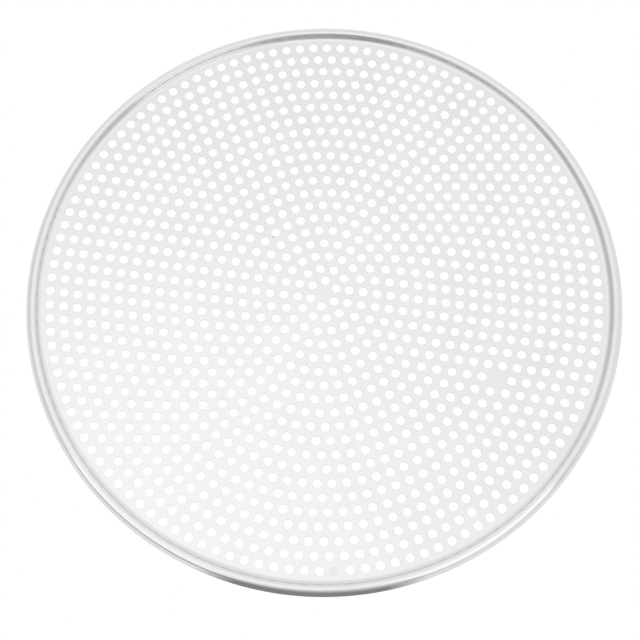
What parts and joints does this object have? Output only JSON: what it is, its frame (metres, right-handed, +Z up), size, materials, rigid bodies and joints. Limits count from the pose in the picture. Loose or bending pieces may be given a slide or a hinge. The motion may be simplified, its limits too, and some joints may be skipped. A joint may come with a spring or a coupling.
{
  "type": "perforated pizza disc",
  "caption": "Flat round baking disc of punched aluminium sheet with a low pressed rim, for baking a pizza with air reaching its base.",
  "frame": {"origin": "centre of the floor's underside, on the surface that the disc lies on", "axes": "+Z up through the disc; -Y is the side nearest the viewer in the picture and +X is to the right"},
  "size_m": [0.4063, 0.4064, 0.005],
  "materials": {
    "sheet": "satin"
  },
  "bodies": {
    "root": {"perforated_disc": "sheet"}
  },
  "joints": []
}
